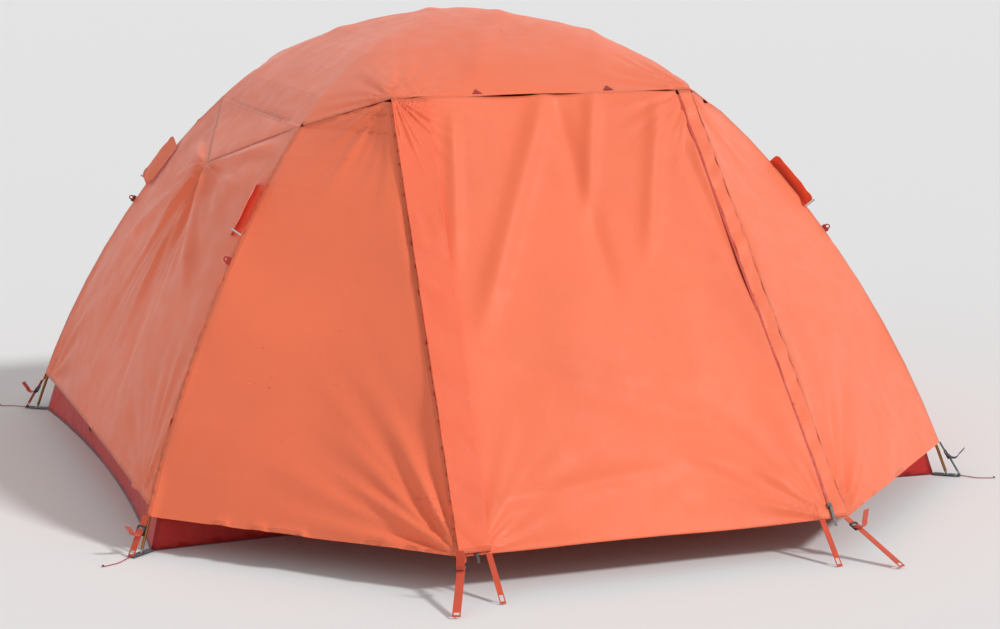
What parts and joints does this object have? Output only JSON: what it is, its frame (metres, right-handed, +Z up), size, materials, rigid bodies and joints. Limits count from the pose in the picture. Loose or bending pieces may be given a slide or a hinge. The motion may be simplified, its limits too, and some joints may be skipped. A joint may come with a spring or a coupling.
{
  "type": "dome tent",
  "caption": "Free-standing dome tent: crossed bent poles, hung inner tent with bathtub floor, and an orange fly with zipped vestibules and propped vents.",
  "frame": {"origin": "on the ground at the centre of the tent", "axes": "+X along the sleeping length, front door at -Y, +Z up"},
  "size_m": [2.569, 3.309, 1.3183],
  "materials": {
    "fly": "coated ripstop, light orange",
    "fly_flap": "coated ripstop, deeper orange",
    "zip_coil": "nylon coil on woven tape",
    "slider": "black cast slider with a woven pull",
    "pole": "bronze anodised tube",
    "pole_insert": "bare drawn tube",
    "pole_tip": "turned",
    "elastic": "braided elastic cord",
    "inner_wall": "breathable fabric and mesh",
    "inner_mesh": "fine insect mesh",
    "inner_web": "woven webbing",
    "floor_cloth": "coated floor cloth, red",
    "footprint_cloth": "coated ground cloth, blue grey",
    "clip": "moulded acetal",
    "eyelet": "rolled eyelet",
    "web_orange": "flat woven webbing",
    "web_navy": "flat woven webbing",
    "web_red": "narrow woven tape",
    "buckle": "moulded ladder lock",
    "strut": "pale stiffener rod with a dark cap",
    "peg_cord": "thin braided cord",
    "knot": "tied and sealed cord end"
  },
  "bodies": {
    "tent": {"main_pole_upper": "pole", "main_pole_lower": "pole", "brow_pole": "pole", "pole_inserts": "pole_insert", "shock_cords": "elastic", "pole_tips": "pole_tip", "fly_roof": "fly", "fly_end_right": "fly", "fly_end_left": "fly", "fly_side_front_left": "fly", "fly_side_front_right": "fly", "fly_side_back_left": "fly", "fly_side_back_right": "fly", "fly_zip_bands": "fly", "fly_zip_coils": "zip_coil", "inner_end_left": "inner_wall", "inner_end_right": "inner_wall", "inner_front": "inner_wall", "inner_back": "inner_wall", "bathtub_floor": "floor_cloth", "footprint": "footprint_cloth", "pole_clips": "clip", "clip_tabs": "inner_web", "crown_hook": "inner_web", "corner_tabs": "inner_web", "corner_grommets": "eyelet", "corner_straps_left": "web_orange", "corner_straps_right": "web_navy", "strap_buckles": "buckle", "vestibule_straps": "web_orange", "guy_out_tabs": "web_red", "end_hem_loops": "web_red", "peg_cord_front_left": "peg_cord", "peg_cord_front_right": "peg_cord", "peg_cord_back_left": "peg_cord", "peg_cord_back_right": "peg_cord", "peg_cord_knots": "knot"},
    "front_door_panel": {"front_door": "fly", "front_door_coils": "zip_coil", "front_storm_flap": "fly_flap", "front_door_loops": "web_orange"},
    "back_door_panel": {"back_door": "fly", "back_door_coils": "zip_coil", "back_storm_flap": "fly_flap", "back_door_loops": "web_orange"},
    "inner_front_panel": {"inner_door_front": "inner_mesh"},
    "inner_back_panel": {"inner_door_back": "inner_mesh"},
    "slider_front_left": {"front_slider_left": "slider"},
    "hood_front_left": {"vent_hood_front_left": "fly"},
    "strut_front_left": {"vent_strut_front_left": "strut"},
    "slider_front_right": {"front_slider_right": "slider"},
    "hood_front_right": {"vent_hood_front_right": "fly"},
    "strut_front_right": {"vent_strut_front_right": "strut"},
    "slider_back_left": {"back_slider_left": "slider"},
    "hood_back_left": {"vent_hood_back_left": "fly"},
    "strut_back_left": {"vent_strut_back_left": "strut"},
    "slider_back_right": {"back_slider_right": "slider"},
    "hood_back_right": {"vent_hood_back_right": "fly"},
    "strut_back_right": {"vent_strut_back_right": "strut"}
  },
  "joints": [
    {"name": "front_door_lift", "type": "hinge", "parent": "tent", "child": "front_door_panel", "pos_m": [0, -0.67992, 1.11654], "axis": [-1, 0, 0], "range_deg": [0, 90]},
    {"name": "back_door_lift", "type": "hinge", "parent": "tent", "child": "back_door_panel", "pos_m": [0, 0.67992, 1.11654], "axis": [1, 0, 0], "range_deg": [0, 90]},
    {"name": "slider_front_right_slide", "type": "slide", "parent": "front_door_panel", "child": "slider_front_right", "axis": [-0.069, 0.6178, 0.7833], "range_m": [0, 1.2365]},
    {"name": "slider_front_left_slide", "type": "slide", "parent": "front_door_panel", "child": "slider_front_left", "axis": [0.069, 0.6178, 0.7833], "range_m": [0, 1.2365]},
    {"name": "slider_back_left_slide", "type": "slide", "parent": "back_door_panel", "child": "slider_back_left", "axis": [0.069, -0.6178, 0.7833], "range_m": [0, 1.2365]},
    {"name": "slider_back_right_slide", "type": "slide", "parent": "back_door_panel", "child": "slider_back_right", "axis": [-0.069, -0.6178, 0.7833], "range_m": [0, 1.2365]},
    {"name": "inner_front_swing", "type": "hinge", "parent": "tent", "child": "inner_front_panel", "pos_m": [-0.43, -0.47208, 0.485], "axis": [0, 0, 1], "range_deg": [0, 90]},
    {"name": "inner_back_swing", "type": "hinge", "parent": "tent", "child": "inner_back_panel", "pos_m": [0.43, 0.47208, 0.485], "axis": [0, 0, 1], "range_deg": [0, 90]},
    {"name": "hood_front_right_close", "type": "hinge", "parent": "tent", "child": "hood_front_right", "pos_m": [0.80647, -0.53296, 0.81566], "axis": [0.5258, -0.3967, -0.7524], "range_deg": [0, 19]},
    {"name": "strut_front_right_fold", "type": "hinge", "parent": "tent", "child": "strut_front_right", "pos_m": [0.83496, -0.62022, 0.76715], "axis": [0.3044, 0.9138, -0.2691], "range_deg": [0, 84]},
    {"name": "hood_front_left_close", "type": "hinge", "parent": "tent", "child": "hood_front_left", "pos_m": [-0.80647, -0.53296, 0.81566], "axis": [0.5258, 0.3967, 0.7524], "range_deg": [0, 19]},
    {"name": "strut_front_left_fold", "type": "hinge", "parent": "tent", "child": "strut_front_left", "pos_m": [-0.83496, -0.62022, 0.76715], "axis": [0.3044, -0.9138, 0.2691], "range_deg": [0, 84]},
    {"name": "hood_back_left_close", "type": "hinge", "parent": "tent", "child": "hood_back_left", "pos_m": [-0.80647, 0.53296, 0.81566], "axis": [-0.5258, 0.3967, -0.7524], "range_deg": [0, 19]},
    {"name": "strut_back_left_fold", "type": "hinge", "parent": "tent", "child": "strut_back_left", "pos_m": [-0.83496, 0.62022, 0.76715], "axis": [-0.3044, -0.9138, -0.2691], "range_deg": [0, 84]},
    {"name": "hood_back_right_close", "type": "hinge", "parent": "tent", "child": "hood_back_right", "pos_m": [0.80647, 0.53296, 0.81566], "axis": [-0.5258, -0.3967, 0.7524], "range_deg": [0, 19]},
    {"name": "strut_back_right_fold", "type": "hinge", "parent": "tent", "child": "strut_back_right", "pos_m": [0.83496, 0.62022, 0.76715], "axis": [-0.3044, 0.9138, 0.2691], "range_deg": [0, 84]}
  ],
  "couplings": [
    {"joint": "strut_front_right_fold", "follows": "hood_front_right_close", "ratio": 4.4211},
    {"joint": "strut_front_left_fold", "follows": "hood_front_left_close", "ratio": 4.4211},
    {"joint": "strut_back_left_fold", "follows": "hood_back_left_close", "ratio": 4.4211},
    {"joint": "strut_back_right_fold", "follows": "hood_back_right_close", "ratio": 4.4211}
  ]
}
